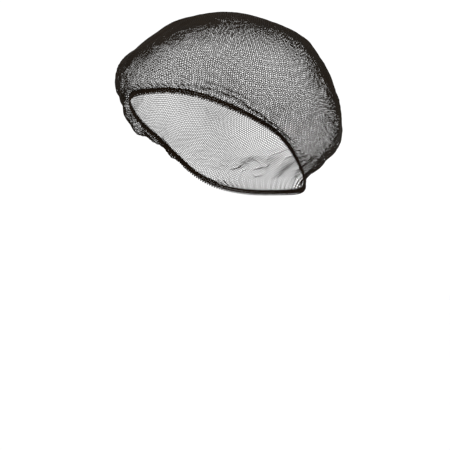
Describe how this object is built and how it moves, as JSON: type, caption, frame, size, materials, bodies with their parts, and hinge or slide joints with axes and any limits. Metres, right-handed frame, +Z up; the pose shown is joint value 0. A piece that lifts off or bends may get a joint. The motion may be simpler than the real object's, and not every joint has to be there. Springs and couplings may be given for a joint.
{
  "type": "hairnet",
  "caption": "Worn hairnet: a full, soft bag of fine honeycomb net gathered onto a narrow ribbed elastic band that rises at the forehead and drops to the nape.",
  "frame": {"origin": "centre of the head opening, midway between the elastic band's middle line at the forehead and at the nape", "axes": "+Z up along the wearer's head, -Y the way the wearer faces, +X the wearer's left"},
  "size_m": [0.2153, 0.2662, 0.1873],
  "materials": {
    "net": "fine knitted nylon honeycomb net, black, slightly glossy filament",
    "elastic": "narrow black knitted elastic with a rib along each edge, matt"
  },
  "bodies": {
    "root": {"net_crown": "net", "elastic_band": "elastic"}
  },
  "joints": []
}
